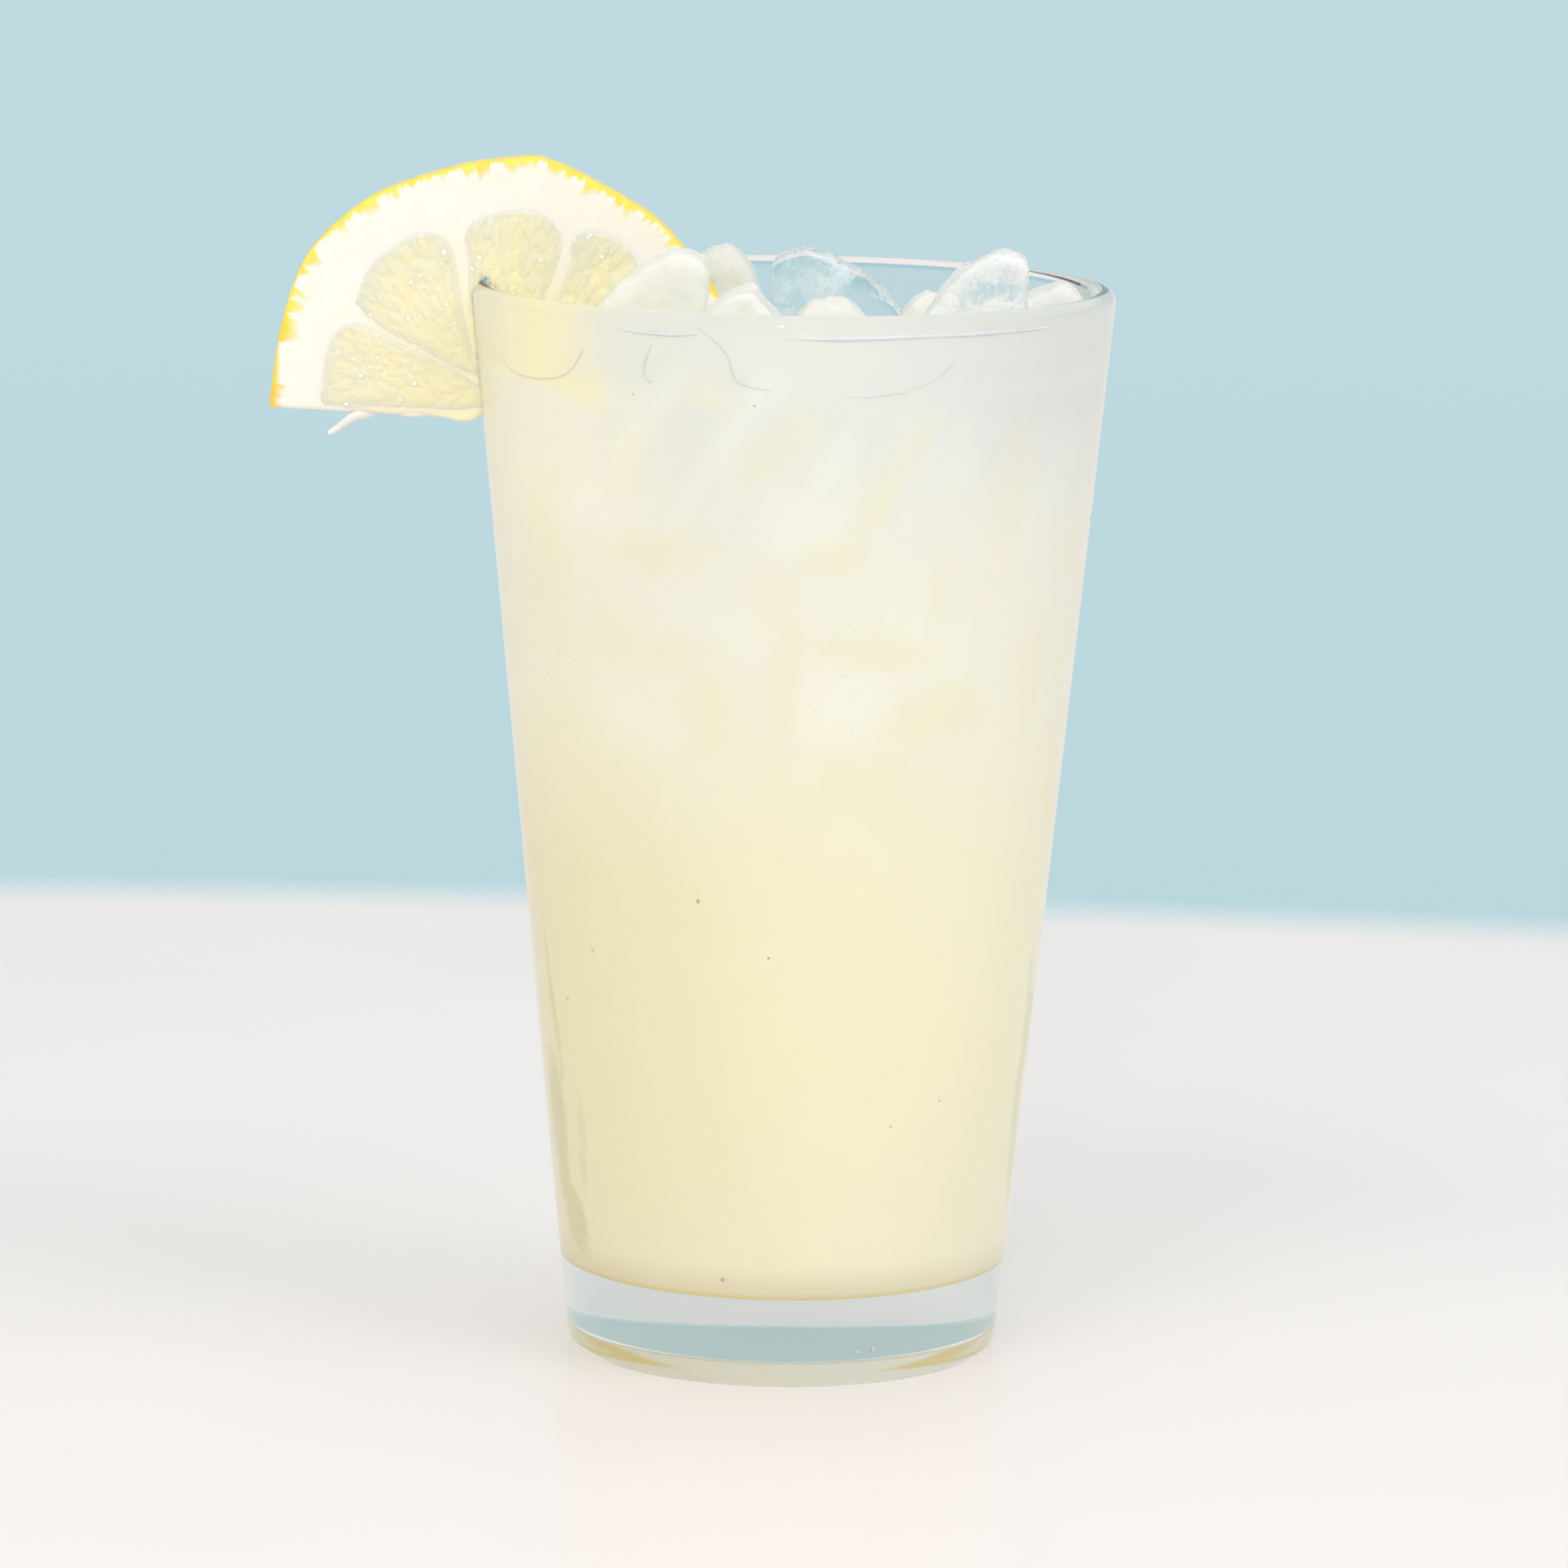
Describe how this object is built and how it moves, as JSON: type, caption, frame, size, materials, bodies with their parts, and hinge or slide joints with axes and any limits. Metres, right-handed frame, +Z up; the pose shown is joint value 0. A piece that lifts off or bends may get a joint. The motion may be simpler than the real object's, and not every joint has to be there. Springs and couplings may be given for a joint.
{
  "type": "glass of lemonade",
  "caption": "Heavy straight-sided tumbler of cloudy lemonade with half-moon ice standing above the surface and half a lemon wheel slit onto the rim.",
  "frame": {"origin": "centre of the glass's foot, on the surface it stands on", "axes": "+Z up the glass, the lemon slice towards -X, its cut face towards -Y"},
  "size_m": [0.1168, 0.0886, 0.1659],
  "materials": {
    "glass": "clear, polished",
    "lemonade": "cloudy pale yellow liquid with pulp",
    "lemon": "wet fruit flesh, white pith and yellow rind",
    "ice": "clear to frosted, wet"
  },
  "bodies": {
    "root": {"glass": "glass", "lemonade": "lemonade", "lemon_slice": "lemon", "ice_1": "ice", "ice_2": "ice", "ice_3": "ice", "ice_4": "ice", "ice_5": "ice", "ice_6": "ice", "ice_7": "ice", "ice_8": "ice", "ice_9": "ice"}
  },
  "joints": []
}
